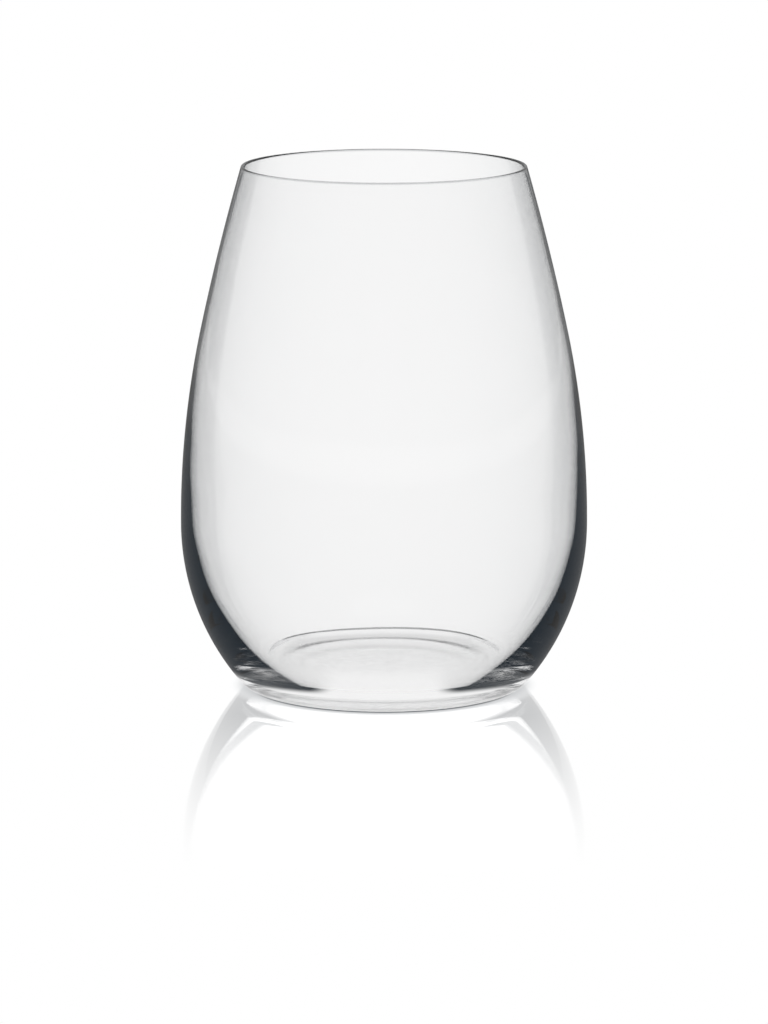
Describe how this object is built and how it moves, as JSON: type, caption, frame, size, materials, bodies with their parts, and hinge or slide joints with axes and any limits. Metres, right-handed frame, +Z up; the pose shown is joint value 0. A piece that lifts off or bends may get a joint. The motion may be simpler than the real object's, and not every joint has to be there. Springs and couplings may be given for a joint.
{
  "type": "stemless wine glass",
  "caption": "Egg-shaped stemless drinking glass with a thin rounded rim, a wall that thickens to a heavy heel and a shallow hollow underneath; holds wine or other drinks.",
  "frame": {"origin": "centre of the base, on the plane of the bearing ring that the glass stands on", "axes": "+Z up along the axis of the glass, from the base to the mouth; +X and +Y are any level directions"},
  "size_m": [0.0922, 0.0922, 0.119],
  "materials": {
    "clear_glass": "clear, smooth inside and out, fire-polished rim"
  },
  "bodies": {
    "root": {"glass": "clear_glass"}
  },
  "joints": []
}
